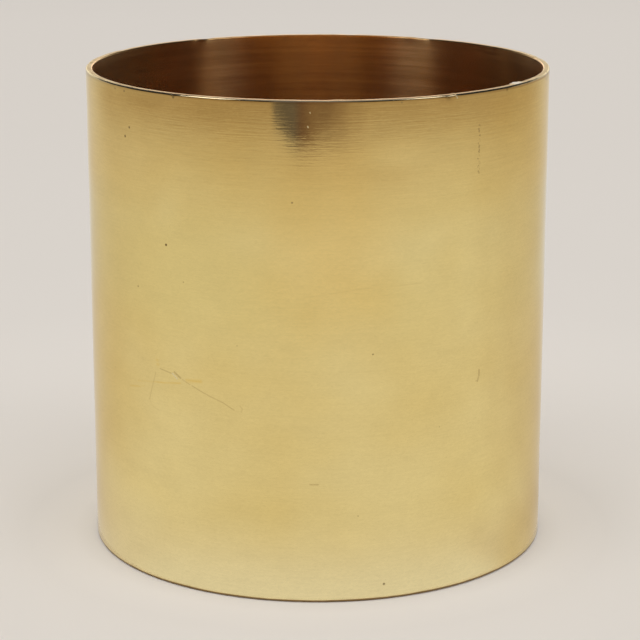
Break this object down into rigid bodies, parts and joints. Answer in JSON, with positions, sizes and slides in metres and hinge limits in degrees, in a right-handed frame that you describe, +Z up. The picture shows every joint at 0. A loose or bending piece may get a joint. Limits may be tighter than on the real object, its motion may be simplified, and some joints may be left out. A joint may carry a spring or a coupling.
{
  "type": "planter pot",
  "caption": "Straight-sided round planter pot: open-topped brass tube with a soldered flat floor, for standing a potted plant in.",
  "frame": {"origin": "centre of the foot ring, at table level", "axes": "+Z up along the pot's axis, out of its open mouth; the pot is round, so +X and +Y are any two directions at right angles, and -Y faces the viewer"},
  "size_m": [0.1142, 0.1142, 0.1195],
  "materials": {
    "brushed_brass": "unlacquered, finely brushed round the pot, lightly aged",
    "floor_brass": "turned, dulled and browned with age",
    "solder": "dull grey tin solder, as it froze"
  },
  "bodies": {
    "root": {"body_tube": "brushed_brass", "base_disc": "floor_brass", "solder_seam": "solder"}
  },
  "joints": []
}
